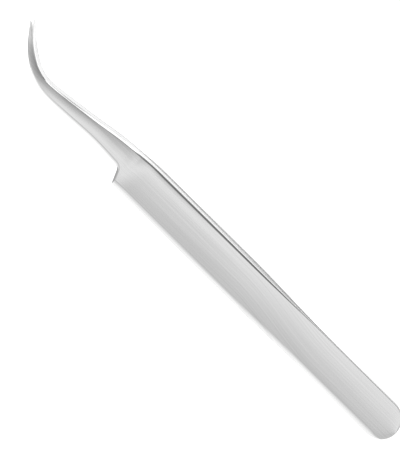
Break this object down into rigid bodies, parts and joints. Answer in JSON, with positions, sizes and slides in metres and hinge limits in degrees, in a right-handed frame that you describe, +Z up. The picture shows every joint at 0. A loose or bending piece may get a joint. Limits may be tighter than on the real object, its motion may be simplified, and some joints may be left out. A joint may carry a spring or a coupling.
{
  "type": "precision tweezers",
  "caption": "Stainless precision tweezers with a flat stepped body, slim neck and hooked fine points; two sprung arms joined by weld nuggets at the tail.",
  "frame": {"origin": "middle of the flat land on the lower arm that the tweezers rest on", "axes": "+X along the body from the tail to the points, +Z up through the broad faces of both arms, so the arms open and close along Z; the points hook towards -Y"},
  "size_m": [0.125, 0.0135, 0.0086],
  "materials": {
    "arm_steel": "satin stainless steel, brushed along its length, with finely ground points",
    "weld_steel": "as-welded stainless steel"
  },
  "bodies": {
    "tail": {"rear_weld": "weld_steel", "middle_weld": "weld_steel", "front_weld": "weld_steel"},
    "upper": {"upper_arm": "arm_steel"},
    "lower": {"lower_arm": "arm_steel"}
  },
  "joints": [
    {"name": "upper_arm_flex", "type": "hinge", "parent": "tail", "child": "upper", "pos_m": [-0.044, 0, 0.0049], "axis": [0, 1, 0], "range_deg": [0, 1.97], "stiffness_Nm_per_rad": 2.5},
    {"name": "lower_arm_flex", "type": "hinge", "parent": "tail", "child": "lower", "pos_m": [-0.044, 0, 0.0037], "axis": [0, -1, 0], "range_deg": [0, 1.97], "stiffness_Nm_per_rad": 2.5}
  ],
  "couplings": [
    {"joint": "lower_arm_flex", "follows": "upper_arm_flex", "ratio": 1}
  ]
}
